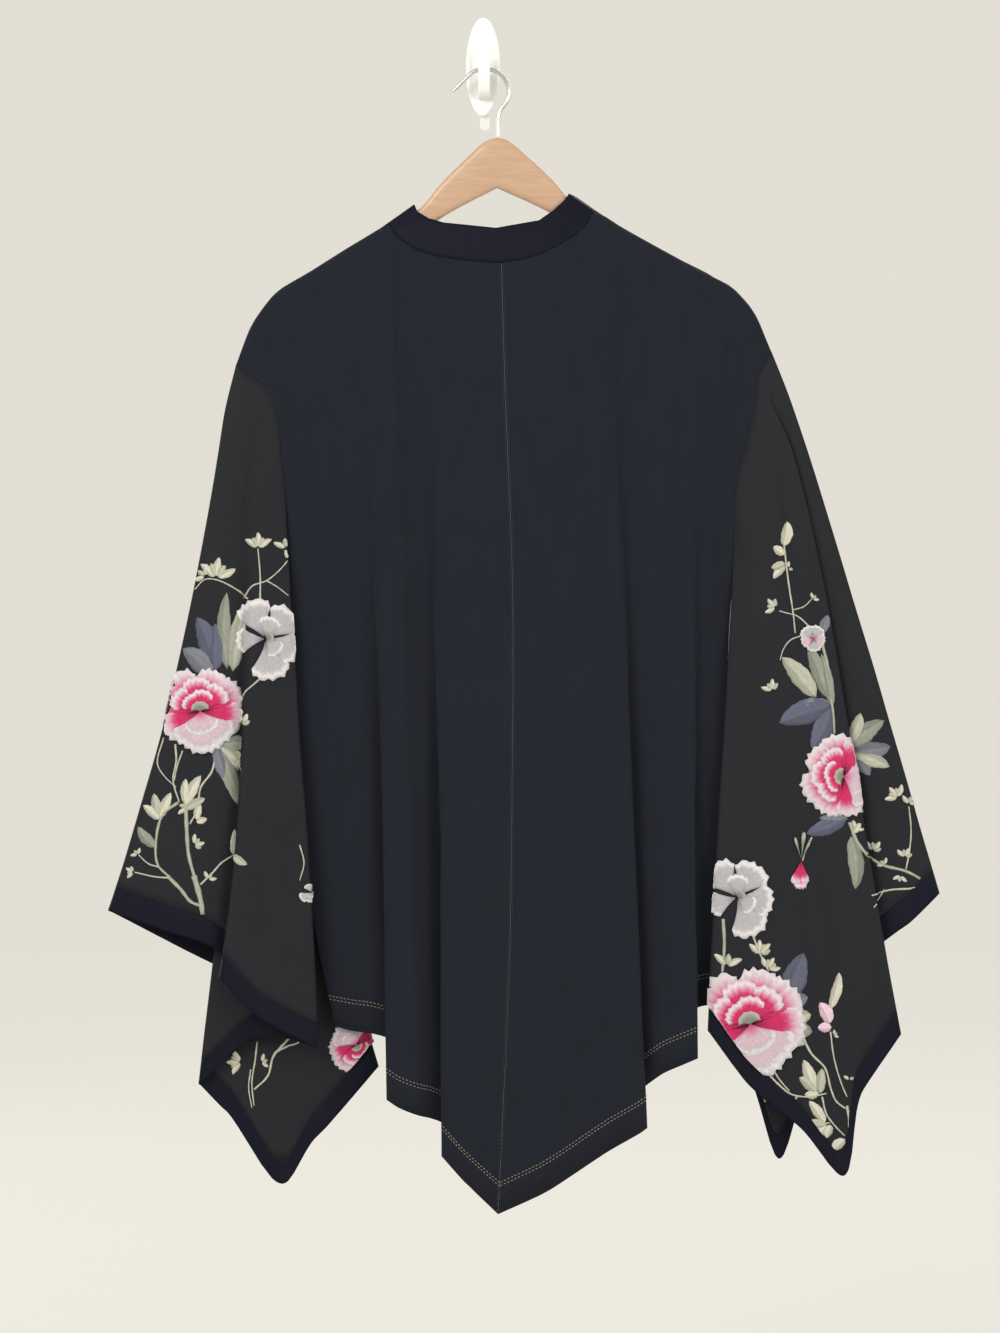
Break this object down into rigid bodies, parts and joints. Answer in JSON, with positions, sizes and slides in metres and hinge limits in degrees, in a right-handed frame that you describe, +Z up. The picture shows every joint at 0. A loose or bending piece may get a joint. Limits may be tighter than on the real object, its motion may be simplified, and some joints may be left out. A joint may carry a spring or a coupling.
{
  "type": "kimono coat on a hanger and wall hook",
  "caption": "Open-front kimono coat with wide embroidered sleeves and bound edges, hanging back to the viewer from a wooden hanger on a stick-up wall hook.",
  "frame": {"origin": "centre of the wall hook's flat back face, where it sticks to the wall", "axes": "+Z up; the wall is the plane y = 0 and the coat hangs on its -Y side; +X to the viewer's right as the coat's back is seen"},
  "size_m": [0.7752, 0.0518, 1.1145],
  "materials": {
    "jersey": "matt navy-black jersey knit",
    "sleeve_satin": "charcoal satin weave with embroidery",
    "band_satin": "folded satin binding",
    "wood": "clear satin lacquer",
    "steel": "bright plated wire",
    "plastic": "translucent white, smooth"
  },
  "bodies": {
    "root": {"back_left": "jersey", "back_right": "jersey", "front_left": "jersey", "front_right": "jersey", "neckband": "band_satin", "front_band_left": "band_satin", "front_band_right": "band_satin", "sleeve_left": "sleeve_satin", "sleeve_right": "sleeve_satin", "cuff_band_left": "band_satin", "cuff_band_right": "band_satin", "hanger_wood": "wood", "hanger_hook": "steel", "wall_hook": "plastic"}
  },
  "joints": []
}
